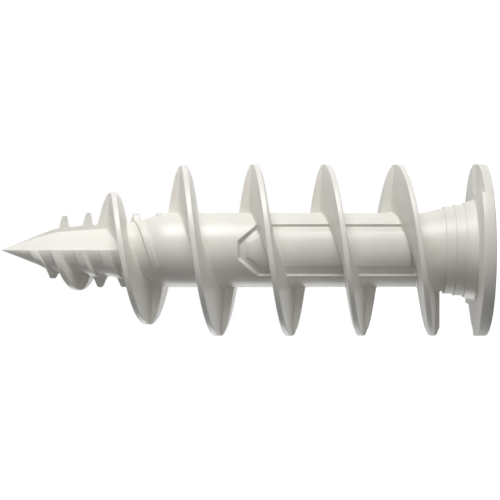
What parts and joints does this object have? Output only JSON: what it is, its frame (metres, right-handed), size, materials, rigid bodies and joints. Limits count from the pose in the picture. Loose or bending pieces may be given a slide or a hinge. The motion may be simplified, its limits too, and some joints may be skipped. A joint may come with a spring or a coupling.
{
  "type": "insulation board wall plug",
  "caption": "One-piece moulded plastic plug with a cutting tip, a coarse deep thread, a flanged head and a screw bore, for soft insulation board.",
  "frame": {"origin": "centre of the head's outer face, which the plug stands on", "axes": "+Z along the plug's axis from the head to the tip; Y is the mould's opening direction, so the parting plane is Y = 0; +X is the side whose lower quadrant of tip is cut to a flat towards -Y"},
  "size_m": [0.0178, 0.0178, 0.05],
  "materials": {
    "plug": "moulded polyamide, light warm grey, satin"
  },
  "bodies": {
    "root": {"plug": "plug"}
  },
  "joints": []
}
